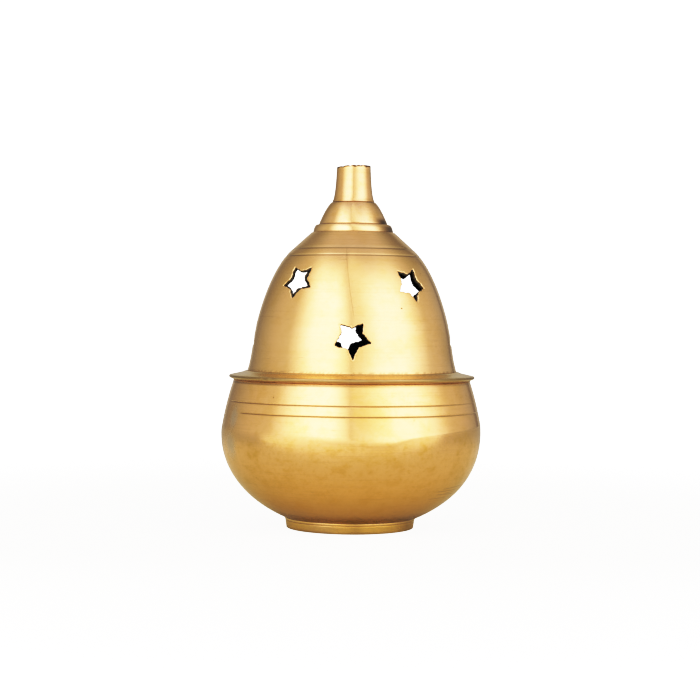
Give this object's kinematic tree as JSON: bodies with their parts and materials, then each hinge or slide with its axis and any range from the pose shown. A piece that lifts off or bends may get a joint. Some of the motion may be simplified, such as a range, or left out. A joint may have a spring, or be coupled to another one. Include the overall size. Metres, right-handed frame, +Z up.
{
  "type": "incense burner",
  "caption": "Round-bellied turned brass incense burner: a footed bowl closed by a lift-off domed lid with star-shaped smoke vents, a flat brim and a hollow chimney finial.",
  "frame": {"origin": "centre of the foot ring's resting face", "axes": "+Z up along the turning axis, -Y towards the front (a lower star vent faces it), +X to the right when looking at the front"},
  "size_m": [0.0804, 0.0804, 0.1125],
  "materials": {
    "foot_brass": "satin turned brass, warm amber, darker along its lower edge",
    "bowl_brass": "satin lathe-turned brass with fine rings, two dark turned lines and a darker golden belly",
    "brim_brass": "satin turned brass, a little duller, with small dings on its edge",
    "dome_brass": "satin lathe-turned brass with fine rings, tiny pits and filed bright lips round the star vents",
    "finial_brass": "bright satin turned brass",
    "inner_brass": "smoke-darkened raw brass inside the lid"
  },
  "bodies": {
    "base": {"foot_ring": "foot_brass", "bowl": "bowl_brass"},
    "lid": {"lid_brim": "brim_brass", "lid_dome": "dome_brass", "finial_collar": "finial_brass", "finial_bell": "finial_brass", "chimney_tube": "finial_brass", "crown_washer": "inner_brass", "lock_nut": "inner_brass"}
  },
  "joints": [
    {"name": "lid_lift", "type": "slide", "parent": "base", "child": "lid", "axis": [0, 0, 1], "range_m": [0, 0.06]}
  ]
}
